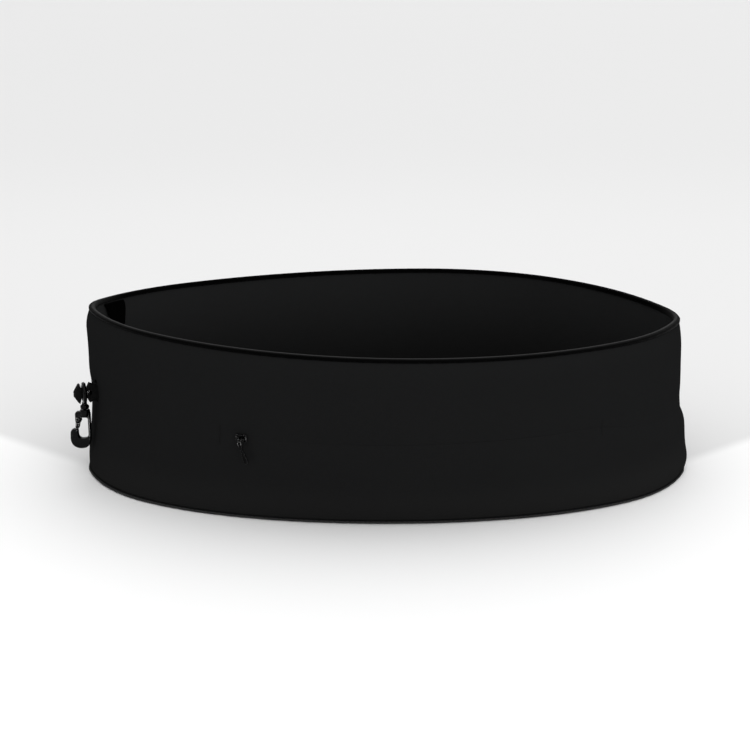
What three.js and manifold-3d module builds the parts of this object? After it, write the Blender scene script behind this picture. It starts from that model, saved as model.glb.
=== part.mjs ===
// Stretch-fabric money belt: a closed tube of knit fabric worn round the waist, with a concealed zip in
// front, a lapped pocket slit round the back, and a key hook on a ribbon tether at the left end.
// Millimetres. +Z is up, -Y is the front and +X is to the right as seen from the front.
import * as THREE from "three";
import { mergeVertices } from "three/addons/utils/BufferGeometryUtils.js";
import Module from "manifold-3d";

const wasm = await Module();
wasm.setup();

// ---------------------------------------------------------------- driving dimensions
const beltHeight = 89;
const loopHalfWidth = 161; // to the inner face of the wall
const frontDepth = 99;
const backDepth = 113;
const backShift = 25; // the back bows out most this far to the right of the middle
const endRadius = 31;
const flatHalfAngle = 37; // degrees of heading covered by the front and back arcs, each way
const shoulderAngle = 66; // heading at which the shoulder arc meets the end arc
const midHeight = beltHeight / 2;

const gap = 0.3; // clearance left between pieces that touch on the real belt
const knit = 0.9; // one layer of the double-knit fabric
const innerKnit = 1.0;
const rimReach = 2.3; // outer face of the wall at its edges, from the inner face
const bulgeReach = 6.2; // outer face of the wall at mid height
const hemGap = 0.8; // half the gap between the two outer hems

const zipStart = -23; // headings, degrees
const zipEnd = 31;
const sliderHeading = -20.4;
const joiningSeamHeading = -34.8;
const tetherHeading = -62;
const tetherRise = 3.3; // above mid height
const labelHeading = 243;

const bindingHeight = 2.6;
const bindingWall = 0.5;
const bindingWeb = 1.3; // thickness of the binding over the panel edges
const seamAllowance = 1.6; // how far the panel edges stay below the rim

const tapeReach = 4.25;
const tapeThickness = 0.5;
const tapeWidth = 12;
const coilReach = 2.85;
const coilDepth = 0.9;
const coilInner = 0.8;
const coilOuter = 2.5;

const ringOffset = 4.8; // centre of the hook's eye, out from the wall
const ribbonWidth = 12;
const ribbonLayer = 0.8;

// ---------------------------------------------------------------- materials
const finish = (color, roughness, metalness) =>
  new THREE.MeshStandardMaterial({ color, roughness, metalness });
const knitBlack = () => finish(0x161617, 0.9, 0);
const trimBlack = () => finish(0x0d0d0e, 0.6, 0);
const tapeBlack = () => finish(0x121213, 0.85, 0);
const gunmetal = () => finish(0x1b1b1d, 0.25, 1);

// ---------------------------------------------------------------- plan of the loop
// A heading is the way the wall faces: 0 at the front (-Y), 90 at +X, 180 at the back.
const rad = THREE.MathUtils.degToRad;
const outward = (heading) =>
  new THREE.Vector2(Math.sin(rad(heading)), -Math.cos(rad(heading)));

// Radii of the flat and shoulder arcs that run from an end arc to a point this far across and deep.
function arcRadii(width, depth) {
  const [s1, c1] = [Math.sin(rad(flatHalfAngle)), Math.cos(rad(flatHalfAngle))];
  const [s2, c2] = [Math.sin(rad(shoulderAngle)), Math.cos(rad(shoulderAngle))];
  const across = width - endRadius * (1 - s2);
  const down = depth - endRadius * c2;
  const det = s1 * (c1 - c2) - (s2 - s1) * (1 - c1);
  const flat = (across * (c1 - c2) - (s2 - s1) * down) / det;
  const shoulder = (s1 * down - (1 - c1) * across) / det;
  return { flat, shoulder };
}

function planArcs() {
  const front = arcRadii(loopHalfWidth, frontDepth);
  const backRight = arcRadii(loopHalfWidth - backShift, backDepth);
  const backLeft = arcRadii(loopHalfWidth + backShift, backDepth);
  const [f, s] = [flatHalfAngle, shoulderAngle];
  const rows = [
    [-f, f, front.flat, 22],
    [f, s, front.shoulder, 5],
    [s, 180 - s, endRadius, 6],
    [180 - s, 180 - f, backRight.shoulder, 7],
    [180 - f, 180, backRight.flat, 8],
    [180, 180 + f, backLeft.flat, 10],
    [180 + f, 180 + s, backLeft.shoulder, 5],
    [180 + s, 360 - s, endRadius, 6],
    [360 - s, 360 - f, front.shoulder, 5],
  ];
  const centre = new THREE.Vector2(0, front.flat - frontDepth);
  const arcs = [];
  for (const [from, to, radius, steps] of rows) {
    const last = arcs.at(-1);
    if (last) centre.addScaledVector(outward(from), last.radius - radius);
    arcs.push({ from, to, radius, steps, centre: centre.clone() });
  }
  return arcs;
}
const arcs = planArcs();

function pointAt(heading, reach, z = 0) {
  const turned = ((((heading + flatHalfAngle) % 360) + 360) % 360) - flatHalfAngle;
  const arc = arcs.find((a) => turned <= a.to + 1e-9);
  const p = arc.centre.clone().addScaledVector(outward(turned), arc.radius + reach);
  return new THREE.Vector3(p.x, p.y, z);
}

// Headings at which a band has a section: the ends, and the even steps of every arc between them.
function headingsBetween(from, to) {
  const inside = [];
  for (const turn of [-360, 0, 360]) {
    for (const arc of arcs) {
      for (let i = 0; i < arc.steps; i++) {
        inside.push(turn + arc.from + ((arc.to - arc.from) * i) / arc.steps);
      }
    }
  }
  const margin = 0.4;
  const kept = inside.filter((h) => h > from + margin && h < to - margin);
  return [from, ...kept, to];
}

// ---------------------------------------------------------------- solids
// A section is a closed list of [reach, z], swept along the wall. Without ends it is a whole ring.
function bandGeometry(section, from, to) {
  const ring = from === undefined;
  const [first, end] = ring ? [-flatHalfAngle, 360 - flatHalfAngle] : [from, to];
  const headings = headingsBetween(first, end);
  if (ring) headings.pop();
  const outline = section.map(([reach, z]) => new THREE.Vector2(reach, z));
  if (THREE.ShapeUtils.isClockWise(outline)) outline.reverse();
  const count = outline.length;
  const positions = [];
  for (const heading of headings) {
    for (const corner of outline) positions.push(...pointAt(heading, corner.x, corner.y).toArray());
  }
  const index = [];
  const spans = ring ? headings.length : headings.length - 1;
  for (let i = 0; i < spans; i++) {
    const near = i * count;
    const far = ((i + 1) % headings.length) * count;
    for (let j = 0; j < count; j++) {
      const k = (j + 1) % count;
      index.push(near + j, far + k, near + k, near + j, far + j, far + k);
    }
  }
  if (!ring) {
    const last = (headings.length - 1) * count;
    for (const [a, b, c] of THREE.ShapeUtils.triangulateShape(outline, [])) {
      index.push(a, b, c, last + a, last + c, last + b);
    }
  }
  const geometry = new THREE.BufferGeometry();
  geometry.setAttribute("position", new THREE.Float32BufferAttribute(positions, 3));
  geometry.setIndex(index);
  return geometry;
}

function toSolid(geometry) {
  const bare = geometry.clone();
  bare.deleteAttribute("normal");
  bare.deleteAttribute("uv");
  const merged = mergeVertices(bare, 1e-4);
  const vertProperties = merged.attributes.position.array;
  const triVerts = new Uint32Array(merged.index.array);
  return new wasm.Manifold(new wasm.Mesh({ numProp: 3, vertProperties, triVerts }));
}

function fromSolid(solid) {
  const { vertProperties, triVerts } = solid.getMesh();
  const geometry = new THREE.BufferGeometry();
  geometry.setAttribute("position", new THREE.Float32BufferAttribute(vertProperties, 3));
  geometry.setIndex(Array.from(triVerts));
  return geometry;
}

const join = (...parts) => fromSolid(parts.map(toSolid).reduce((a, b) => a.add(b)));
const cut = (body, ...tools) =>
  fromSolid(tools.map(toSolid).reduce((a, b) => a.subtract(b), toSolid(body)));
const common = (a, b) => fromSolid(toSolid(a).intersect(toSolid(b)));

// A box given by its low and high corners.
function box(low, high) {
  const size = high.map((h, i) => h - low[i]);
  const middle = high.map((h, i) => (h + low[i]) / 2);
  return new THREE.BoxGeometry(...size).translate(...middle);
}

// A solid of revolution about the vertical, from [radius, z] rows given from the bottom up.
function turned(rows, sides = 16) {
  const points = rows.map(([r, z]) => new THREE.Vector2(r, z));
  return new THREE.LatheGeometry(points, sides).rotateX(Math.PI / 2);
}

// An outline in the X-Z plane, as thick as asked and centred on Y.
function upright(shape, thickness, curveSegments = 5) {
  const settings = { depth: thickness, bevelEnabled: false, curveSegments };
  const flat = new THREE.ExtrudeGeometry(shape, settings).translate(0, 0, -thickness / 2);
  return flat.rotateX(Math.PI / 2);
}

// ---------------------------------------------------------------- scene graph helpers
const belt = new THREE.Group();

function add(parent, name, geometry, material) {
  const mesh = new THREE.Mesh(geometry, material);
  mesh.name = name;
  parent.add(mesh);
  return mesh;
}

// A group whose X runs along the wall, whose -Y points out of it, and whose origin is on the wall's face.
function stationAt(heading, reach, z) {
  const group = new THREE.Group();
  group.position.copy(pointAt(heading, reach, z));
  group.rotation.z = rad(heading);
  belt.add(group);
  return group;
}

// ---------------------------------------------------------------- fabric wall
const panelEdge = beltHeight - seamAllowance;

const innerPanelSection = [
  [0, seamAllowance],
  [innerKnit, seamAllowance],
  [innerKnit, panelEdge],
  [0, panelEdge],
];

// Half of the pillow-shaped outer wall: heights are measured from mid height, and side is 1 or -1.
function outerPanelSection(side) {
  const face = [
    [bulgeReach, hemGap],
    [bulgeReach - 0.1, 14],
    [bulgeReach - 0.5, 28],
    [bulgeReach - 1.6, 36.5],
    [rimReach, 40.9],
    [rimReach, panelEdge - midHeight],
  ];
  const lining = face.map(([reach, rise]) => [reach - knit, rise]).reverse();
  return [...face, ...lining].map(([reach, rise]) => [reach, midHeight + side * rise]);
}

// Fold-over binding that wraps the panel edges at the top (side 1) or bottom (side -1) of the belt.
function bindingSection(side) {
  const inside = -gap;
  const outside = rimReach + gap;
  const half = beltHeight / 2;
  const rows = [
    [inside - bindingWall, half - bindingHeight],
    [inside - bindingWall, half - 0.9],
    [inside + 0.5, half],
    [outside - 0.5, half],
    [outside + bindingWall, half - 0.9],
    [outside + bindingWall, half - bindingHeight],
    [outside, half - bindingHeight],
    [outside, half - bindingWeb],
    [inside, half - bindingWeb],
    [inside, half - bindingHeight],
  ];
  return rows.map(([reach, rise]) => [reach, midHeight + side * rise]);
}

// Flat strip between two reaches, from one rise above mid height to another.
const strip = (near, far, low, high) => [
  [near, midHeight + low],
  [far, midHeight + low],
  [far, midHeight + high],
  [near, midHeight + high],
];

// Upright slot in the outer wall that the key tether comes out of.
function tetherSlot() {
  const at = pointAt(tetherHeading, 0, midHeight + tetherRise);
  const slot = box([-1.6, -9, -ribbonWidth / 2 - 0.4], [1.6, -3, ribbonWidth / 2 + 0.4]);
  return slot.rotateZ(rad(tetherHeading)).translate(at.x, at.y, at.z);
}

function buildWall() {
  add(belt, "inner_panel", bandGeometry(innerPanelSection), knitBlack());
  const slot = tetherSlot();
  add(belt, "outer_upper_panel", cut(bandGeometry(outerPanelSection(1)), slot), knitBlack());
  add(belt, "outer_lower_panel", cut(bandGeometry(outerPanelSection(-1)), slot), knitBlack());
  add(belt, "top_edge_binding", bandGeometry(bindingSection(1)), trimBlack());
  add(belt, "bottom_edge_binding", bandGeometry(bindingSection(-1)), trimBlack());

  // Strips sewn behind the lower hem: they close the slit from inside.
  const lap = strip(4, 4.7, -9, 9);
  add(belt, "rear_slit_underlap", bandGeometry(lap, zipEnd + 2, 360 + tetherHeading - 6), knitBlack());
  add(belt, "front_slit_underlap", bandGeometry(lap, tetherHeading + 6, zipStart - 2), knitBlack());

  // Tape over the joining seam and the folded care label, both on the inner face.
  const tape = strip(-gap - 0.5, -gap, -38, 38);
  const seamHalf = 1.3;
  const seam = [joiningSeamHeading - seamHalf, joiningSeamHeading + seamHalf];
  add(belt, "joining_seam_tape", bandGeometry(tape, ...seam), tapeBlack());
  const labelHalf = 2.6;
  const label = strip(-gap - 0.6, -gap, 5, 40);
  const folded = bandGeometry(label, labelHeading - labelHalf, labelHeading + labelHalf);
  add(belt, "care_label", folded, trimBlack());
}

// Bars of thread across the hems at the ends of the zip and of the rear slit.
function buildBarTacks() {
  const places = {
    bar_tack_zip_left: zipStart - 1,
    bar_tack_zip_right: zipEnd + 1,
    bar_tack_rear_right: 118,
    bar_tack_rear_left: 242,
  };
  for (const [name, heading] of Object.entries(places)) {
    const station = stationAt(heading, bulgeReach + gap, midHeight);
    add(station, name, box([-0.8, -0.5, -5], [0.8, 0, 5]), trimBlack());
  }
}

// ---------------------------------------------------------------- zip
function buildZip() {
  for (const [name, side] of [["upper", 1], ["lower", -1]]) {
    const tape = strip(tapeReach, tapeReach + tapeThickness, side * coilInner, side * tapeWidth);
    add(belt, `zip_${name}_tape`, bandGeometry(tape, zipStart, zipEnd), tapeBlack());
    const [inner, outer] = [side * coilInner, side * coilOuter];
    const coil = [
      [coilReach, midHeight + inner + side * 0.3],
      [coilReach, midHeight + outer - side * 0.3],
      [coilReach + 0.3, midHeight + outer],
      [coilReach + coilDepth, midHeight + outer],
      [coilReach + coilDepth, midHeight + inner],
      [coilReach + 0.3, midHeight + inner],
    ];
    add(belt, `zip_${name}_coil`, bandGeometry(coil, zipStart + 1.2, zipEnd - 1.2), trimBlack());
  }
  const stop = strip(coilReach - 0.1, coilReach + coilDepth + 0.1, -coilOuter, coilOuter);
  add(belt, "zip_left_stop", bandGeometry(stop, zipStart + 0.4, zipStart + 1.1), gunmetal());
  add(belt, "zip_right_stop", bandGeometry(stop, zipEnd - 1.1, zipEnd - 0.4), gunmetal());
}

// Slider: a channel behind the coils, a neck through the hems, and a crown with its arch in front.
const archReach = 9.15;
const ringWireRadius = 0.35;
const ringRadius = 1.5;
const ringDrop = 0.75; // the pull ring's centre, below the arch
const pullTilt = 20; // degrees that the pull leans from the vertical

function buildSlider() {
  const station = stationAt(sliderHeading, 0, midHeight);
  const halfLength = 4;
  const pieces = [
    box([-halfLength, -2.45, -3.4], [halfLength, -1.75, 3.4]),
    box([-halfLength, -3.95, 2.9], [halfLength, -2.4, 3.4]),
    box([-halfLength, -3.95, -3.4], [halfLength, -2.4, -2.9]),
    box([-1.8, -6.8, -0.4], [1.8, -2.4, 0.4]),
    box([-2.9, -7, -2], [2.9, -6.5, 2]),
    box([-2.9, -archReach - 0.4, -0.45], [-2, -6.9, 0.45]),
    box([2, -archReach - 0.4, -0.45], [2.9, -6.9, 0.45]),
    box([-2.9, -archReach - 0.4, -0.4], [2.9, -archReach + 0.4, 0.4]),
  ];
  add(station, "slider_body", join(...pieces), gunmetal());

  const pivot = new THREE.Group();
  pivot.position.set(0, -archReach, 0);
  station.add(pivot);
  const ring = new THREE.TorusGeometry(ringRadius, ringWireRadius, 6, 18);
  ring.rotateY(Math.PI / 2).translate(0, 0, -ringDrop);
  add(pivot, "pull_ring", ring, gunmetal());

  const hang = new THREE.Group();
  hang.position.set(0, 0, -ringDrop - ringRadius);
  hang.rotation.y = rad(-pullTilt);
  pivot.add(hang);
  add(hang, "pull_tab", upright(pullOutline(), 1), gunmetal());
}

// Slim drop-shaped pull: an eye at the origin and a wider round foot.
function pullOutline() {
  const eyeRadius = 1.25;
  const footRadius = 1.75;
  const length = 9.6;
  const shape = new THREE.Shape();
  shape.absarc(0, 0, eyeRadius, 0, Math.PI, false);
  shape.lineTo(-footRadius, -length);
  shape.absarc(0, -length, footRadius, Math.PI, 2 * Math.PI, false);
  shape.closePath();
  shape.holes.push(new THREE.Path().absarc(0, 0, 0.7, 0, 2 * Math.PI, true));
  return shape;
}

// ---------------------------------------------------------------- key tether
// Cutter along Y for the clearance hole round the rivet's post or the gate's pin.
const holeRadius = 0.85;
const crossHole = () => new THREE.CylinderGeometry(holeRadius, holeRadius, 6, 12);

const eyeReach = bulgeReach + ringOffset; // eye centre, out from the wall's inner face
const eyeRadius = 4.9;
const eyeTurn = -10; // degrees that the eye hangs turned from square to the ribbon
const eyeWire = 1.1;

// Plan of the ribbon: two sewn feet inside the pocket, two layers side by side, and the outer fold.
function ribbonPlan(foldReach) {
  const [foot, footSpan] = [1.7, 5.5];
  const [inner, outer] = [ribbonLayer / 2, ribbonLayer * 1.5];
  const turn = foldReach - outer;
  const shape = new THREE.Shape();
  shape.moveTo(-footSpan, -foot);
  shape.lineTo(-footSpan, -foot - ribbonLayer);
  shape.lineTo(-outer, -foot - ribbonLayer);
  shape.lineTo(-outer, -turn);
  shape.absarc(0, -turn, outer, Math.PI, 2 * Math.PI, false);
  shape.lineTo(outer, -foot - ribbonLayer);
  shape.lineTo(footSpan, -foot - ribbonLayer);
  shape.lineTo(footSpan, -foot);
  shape.lineTo(inner, -foot);
  shape.lineTo(inner, -turn);
  shape.absarc(0, -turn, inner, 2 * Math.PI, Math.PI, true);
  shape.lineTo(-inner, -foot);
  shape.closePath();
  return shape;
}

// Side view of the ribbon, in reach and rise: full width at the wall, gathered where it goes through the
// eye, and spread again into a pointed fold beyond it.
function ribbonSide(foldReach) {
  const half = ribbonWidth / 2;
  const neck = 3;
  const [neckStart, neckEnd] = [eyeReach - 2, eyeReach + 2];
  const rim = [
    [0, half],
    [neckStart - 1.4, half],
    [neckStart, neck],
    [neckEnd, neck],
    [neckEnd + 1, half - 0.2],
    [foldReach + 0.2, 0.8],
  ];
  const mirrored = rim.map(([reach, rise]) => [reach, -rise]).reverse();
  const points = [...rim, ...mirrored].map(([reach, rise]) => new THREE.Vector2(reach, rise));
  return new THREE.Shape(points);
}

function buildTether() {
  const station = stationAt(tetherHeading, 0, midHeight + tetherRise);
  const foldReach = eyeReach + 5.8;
  const settings = { depth: ribbonWidth, bevelEnabled: false, curveSegments: 5 };
  const plan = new THREE.ExtrudeGeometry(ribbonPlan(foldReach), settings);
  plan.translate(0, 0, -ribbonWidth / 2);
  const side = upright(ribbonSide(foldReach), 14).rotateZ(-Math.PI / 2);
  const rivetReach = bulgeReach + 2;
  const hole = crossHole().rotateZ(Math.PI / 2).translate(0, -rivetReach, 0);
  add(station, "key_tether", cut(common(plan, side), hole), tapeBlack());

  const [post, cap, seat, thickness] = [0.5, 1.3, ribbonLayer * 1.5 + gap, 0.5];
  const rows = [
    [0, -seat - thickness],
    [cap - 0.3, -seat - thickness],
    [cap, -seat],
    [post, -seat],
    [post, seat],
    [cap, seat],
    [cap - 0.3, seat + thickness],
    [0, seat + thickness],
  ];
  const rivet = turned(rows, 12).rotateY(Math.PI / 2).translate(0, -rivetReach, 0);
  add(station, "tether_rivet", rivet, gunmetal());
}

// ---------------------------------------------------------------- key hook
// Heights below are measured down from the centre of the eye.
const hookThickness = 3.6;
const gatePivot = [-3.8, -14.5];
const slotHalf = 1.2;

function swivelEye() {
  const ring = new THREE.TorusGeometry(eyeRadius, eyeWire, 8, 24);
  ring.rotateX(Math.PI / 2);
  const stem = turned([
    [0, -12],
    [1.8, -12],
    [1.8, -11],
    [1, -11],
    [1, -8.8],
    [2.4, -8.8],
    [2.4, -6.9],
    [1.4, -6.4],
    [1.4, -5.2],
    [0, -5.2],
  ]);
  return join(ring, stem);
}

// J-shaped frame of the hook, with the nose turned up on the outer side.
function hookOutline() {
  const shape = new THREE.Shape();
  shape.moveTo(-5.4, -11.6);
  shape.lineTo(-4, -10.4);
  shape.lineTo(1.5, -10.4);
  shape.quadraticCurveTo(2.9, -10.4, 2.9, -11.8);
  shape.lineTo(2.9, -25);
  shape.bezierCurveTo(2.9, -29.4, 0.8, -31.4, -2.6, -31.4);
  shape.bezierCurveTo(-6, -31.4, -8.5, -29.4, -8.5, -25.4);
  shape.lineTo(-8.3, -22.4);
  shape.quadraticCurveTo(-8, -20.3, -6.2, -20.3);
  shape.lineTo(-4.8, -20.3);
  shape.quadraticCurveTo(-4.1, -20.3, -4.1, -21.1);
  shape.lineTo(-4, -23.6);
  shape.bezierCurveTo(-3.8, -25.2, -2.8, -25.6, -1.4, -25.6);
  shape.bezierCurveTo(0.4, -25.6, 1.5, -24.8, 1.5, -22.8);
  shape.lineTo(1.5, -13.8);
  shape.lineTo(-2, -13.8);
  shape.lineTo(-2, -16.2);
  shape.lineTo(-5.4, -16.2);
  shape.closePath();
  return shape;
}

function hookBody() {
  const collar = turned([[0, -13.3], [2.8, -13.3], [2.8, -9.2], [0, -9.2]]);
  const frame = join(upright(hookOutline(), hookThickness), collar);
  const socket = turned([[0, -12.3], [2.2, -12.3], [2.2, -10.6], [1.4, -10.6], [1.4, -9], [0, -9]]);
  const [px, pz] = gatePivot;
  const clevis = box([-5.7, -slotHalf, -16.5], [-1.9, slotHalf, pz + 1.8]);
  return cut(frame, socket, clevis, crossHole().translate(px, 0, pz));
}

// Gate: a thin head between the clevis cheeks and a thicker blade that shuts behind the nose.
function hookGate() {
  const [px, pz] = gatePivot;
  const [bladeTop, bladeEnd, bladeThickness] = [-16.7, -19.9, 2.8];
  const head = new THREE.Shape();
  head.absarc(px, pz, 1.5, 0, Math.PI, false);
  head.lineTo(-5.3, bladeTop - 0.8);
  head.lineTo(-3.1, bladeTop - 0.8);
  head.lineTo(px + 1.5, pz);
  head.closePath();
  const blade = new THREE.Shape();
  blade.moveTo(-5.4, bladeTop);
  blade.lineTo(-5.5, bladeEnd + 0.8);
  blade.quadraticCurveTo(-5.4, bladeEnd, -4.4, bladeEnd);
  blade.quadraticCurveTo(-3.3, bladeEnd, -3.2, bladeEnd + 0.9);
  blade.lineTo(-2.9, bladeTop);
  blade.closePath();
  const plate = upright(head, 1.2).translate(0, -0.25, 0);
  return cut(join(plate, upright(blade, bladeThickness)), crossHole().translate(px, 0, pz));
}

function buildHook() {
  const station = stationAt(tetherHeading, eyeReach, midHeight + tetherRise);
  add(station, "swivel_eye", swivelEye().rotateZ(rad(eyeTurn)), gunmetal());

  const hook = new THREE.Group();
  hook.rotation.z = rad(-tetherHeading);
  station.add(hook);
  add(hook, "hook_body", hookBody(), gunmetal());
  add(hook, "hook_gate", hookGate(), gunmetal());

  const [px, pz] = gatePivot;
  const pin = turned([
    [0, -2.4],
    [0.95, -2.4],
    [0.95, -2.1],
    [0.55, -2.1],
    [0.55, 2.1],
    [0.95, 2.1],
    [0.95, 2.4],
    [0, 2.4],
  ], 12);
  add(hook, "gate_pin", pin.rotateX(Math.PI / 2).translate(px, 0, pz), gunmetal());
  const wire = [
    [holeRadius, -0.15],
    [1.3, -0.15],
    [1.3, 0.15],
    [holeRadius, 0.15],
    [holeRadius, -0.15],
  ];
  const coil = turned(wire, 12);
  add(hook, "gate_spring", coil.rotateX(Math.PI / 2).translate(px, 0.8, pz), gunmetal());
}

// ---------------------------------------------------------------- assembly
buildWall();
buildBarTacks();
buildZip();
buildSlider();
buildTether();
buildHook();

// The origin is the middle of the bounding box, on the surface that the belt stands on.
const bounds = new THREE.Box3().setFromObject(belt);
const middle = bounds.getCenter(new THREE.Vector3());
belt.position.set(-middle.x, -middle.y, -bounds.min.z);

export default belt;
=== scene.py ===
"""Stretch-knit money belt: the looks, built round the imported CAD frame. Lengths here are millimetres."""

from math import cos, pi, radians, sin

import bmesh
import bpy
import numpy as np
from mathutils import Matrix, Vector
from numpy.linalg import norm


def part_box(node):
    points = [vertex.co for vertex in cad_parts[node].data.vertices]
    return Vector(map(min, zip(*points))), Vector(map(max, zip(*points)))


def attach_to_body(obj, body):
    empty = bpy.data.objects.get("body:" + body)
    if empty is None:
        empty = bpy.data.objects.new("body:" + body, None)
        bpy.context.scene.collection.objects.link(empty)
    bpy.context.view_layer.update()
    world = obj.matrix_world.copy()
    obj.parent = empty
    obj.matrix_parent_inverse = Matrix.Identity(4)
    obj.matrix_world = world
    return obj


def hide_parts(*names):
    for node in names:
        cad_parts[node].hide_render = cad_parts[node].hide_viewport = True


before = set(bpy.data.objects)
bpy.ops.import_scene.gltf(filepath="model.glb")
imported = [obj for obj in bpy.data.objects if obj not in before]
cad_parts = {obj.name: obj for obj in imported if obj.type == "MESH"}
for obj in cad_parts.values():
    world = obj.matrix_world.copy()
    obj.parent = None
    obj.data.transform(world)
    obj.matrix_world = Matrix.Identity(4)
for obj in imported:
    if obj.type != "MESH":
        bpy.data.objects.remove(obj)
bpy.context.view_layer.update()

MM = 0.001


def box_mm(node):
    """Lowest and highest corner of a CAD node, in millimetres."""
    low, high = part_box(node)
    return Vector(low) / MM, Vector(high) / MM


# ---- plan of the loop, as in the CAD
KNIT = 0.9  # one layer of the outer fabric
INNER_KNIT = 1.0
END_RADIUS = 31.0  # the tight arc at each end
FLAT_ANGLE = 37.0  # headings, degrees: 0 faces the front (-Y) and 90 faces +X
SHOULDER_ANGLE = 66.0
FRONT_DEPTH = 99.0  # from the loop's centre to the front
BACK_SHIFT = 25.0  # the back bows out most this far to the right

PANEL_LOW, PANEL_HIGH = box_mm("inner_panel")
HALF_WIDTH = (PANEL_HIGH.x - PANEL_LOW.x) / 2 - INNER_KNIT
BACK_DEPTH = PANEL_HIGH.y - PANEL_LOW.y - 2 * INNER_KNIT - FRONT_DEPTH
ROUND = (-FLAT_ANGLE, 360 - FLAT_ANGLE)  # once round, starting where the first arc does
CENTRE_X = (PANEL_LOW.x + PANEL_HIGH.x) / 2
CENTRE_Y = PANEL_LOW.y + INNER_KNIT + FRONT_DEPTH
HEIGHT = box_mm("top_edge_binding")[1].z
MIDDLE = HEIGHT / 2
PANEL_BOTTOM, PANEL_TOP = PANEL_LOW.z, PANEL_HIGH.z

ZIP_START, ZIP_END = -23.0, 31.0
SLIDER_HEADING = -20.4
JOINING_SEAM = -34.8
TETHER_HEADING = -62.0
TETHER_RISE = 3.3  # above mid height
LABEL_HEADING = 242.6  # where the care label hangs
LABEL_HALF = 4.0  # degrees either side
LABEL_TAPER = 0.92  # how much of its width is folded back at the foot
LABEL_DRIFT = 1.1  # degrees that it hangs off its seat
BAR_TACKS = {"zip_left": ZIP_START - 1, "zip_right": ZIP_END + 1, "rear_right": 118.0, "rear_left": 242.0}


def outward(heading):
    turn = np.radians(heading)
    return np.stack([np.sin(turn), -np.cos(turn)], -1)


def arc_radii(width, depth):
    """Radii of the flat and shoulder arcs that run from an end arc to a point this far across and deep."""
    (s1, c1), (s2, c2) = [(sin(a), cos(a)) for a in np.radians((FLAT_ANGLE, SHOULDER_ANGLE))]
    rows = [[s1, s2 - s1], [1 - c1, c1 - c2]]
    return np.linalg.solve(rows, [width - END_RADIUS * (1 - s2), depth - END_RADIUS * c2])


def plan_arcs():
    front = arc_radii(HALF_WIDTH, FRONT_DEPTH)
    right = arc_radii(HALF_WIDTH - BACK_SHIFT, BACK_DEPTH)
    left = arc_radii(HALF_WIDTH + BACK_SHIFT, BACK_DEPTH)
    f, s = FLAT_ANGLE, SHOULDER_ANGLE
    radii = (front[0], front[1], END_RADIUS, right[1], right[0], left[0], left[1], END_RADIUS, front[1])
    starts = (-f, f, s, 180 - s, 180 - f, 180, 180 + f, 180 + s, 360 - s, 360 - f)
    centre = np.array([0.0, front[0] - FRONT_DEPTH])
    arcs, last = [], front[0]
    for start, end, radius in zip(starts, starts[1:], radii):
        centre = centre + outward(start) * (last - radius)
        arcs.append((start, end, radius, centre))
        last = radius
    return arcs


ARCS = plan_arcs()


def plan_point(heading, reach):
    """Points of the undisturbed plan, from the loop's centre. Reach is measured out from the inner face."""
    heading, reach = np.broadcast_arrays(np.asarray(heading, float), np.asarray(reach, float))
    turned = np.mod(heading + FLAT_ANGLE, 360) - FLAT_ANGLE
    out = np.zeros(heading.shape + (2,))
    for start, end, radius, centre in ARCS:
        here = (turned >= start) & (turned <= end)
        out[here] = centre + outward(turned[here]) * (radius + reach[here])[:, None]
    return out


# How the soft loop stands: the front leans out at the top and is squarer at the foot, the left end
# stands a little higher, and the back bows to the right. Mid height stays level along the zip, where the
# slider runs.
FLARE = 0.0114  # how much wider the foot is than mid height, as a share of the width
FRONT_LEAN = 0.043  # the same for the depth of the front, at the rim
FOOT_SQUARE = 0.25  # how far the foot's corners come forward, as a share of the height
RIM_TILT = 0.0197
BACK_SKEW = 0.13
BACK_LEAN = 0.05
MID_RISE_LEFT = 2.6  # how far mid height rides up at the left end
MID_SAG_RIGHT = 6.3  # and drops at the right end
LEFT_WAIST = 1.1  # how far the left end draws in at mid height
LEFT_SPREAD = 2.8  # and how far it spreads again towards the rim and the foot
RIGHT_FOOT = 2.6  # how far the foot spreads at the right end
BACK_RIGHT_FULL = 0.25  # how much deeper the back is at the right end
HALF_SPAN = HALF_WIDTH + 3.0


def settle(x, y, z):
    rise = z / HEIGHT
    across = x / HALF_SPAN
    forward = np.clip(-y / FRONT_DEPTH, 0, 1)
    foot = FOOT_SQUARE * HEIGHT * np.clip(1 - rise, 0, 1) ** 3.5 * across**2 * np.sqrt(forward)
    front = y * (1 + FRONT_LEAN * (2 * rise - 1)) - foot
    back = y * (1 + BACK_SKEW * across - BACK_LEAN * rise + BACK_RIGHT_FULL * np.clip(across, 0, 1) ** 4)
    left = LEFT_WAIST - LEFT_SPREAD * np.abs(2 * rise - 1) ** 2.5
    right = RIGHT_FOOT * np.clip(1 - rise / 0.3, 0, 1) ** 2
    new_x = x * (1 - FLARE * (2 * rise - 1)) + np.where(x < 0, left, right) * across**2
    level = np.clip((0.8 - np.abs(across)) / 0.2, 0, 1)
    level = level * level * (3 - 2 * level)
    middle = np.where(x < 0, MID_RISE_LEFT, MID_SAG_RIGHT) * across**3 * (1 - level)
    middle = (middle - level * RIM_TILT * x / 2) * 4 * rise * (1 - rise)
    return new_x, np.where(y < 0, front, back), z - RIM_TILT * x * rise - middle


def wall(heading, reach, z):
    """Points on the soft wall, in metres in the row frame."""
    flat = plan_point(heading, reach)
    z = np.broadcast_to(np.asarray(z, float), flat.shape[:-1])
    x, y, z = settle(flat[..., 0], flat[..., 1], z)
    return np.stack([x + CENTRE_X, y + CENTRE_Y, z], -1) * MM


def run_of(headings):
    """Length along the wall up to each heading, millimetres."""
    points = plan_point(headings, 3.0)
    steps = norm(np.diff(points, axis=0), axis=1)
    return np.concatenate([[0.0], np.cumsum(steps)])


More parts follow.
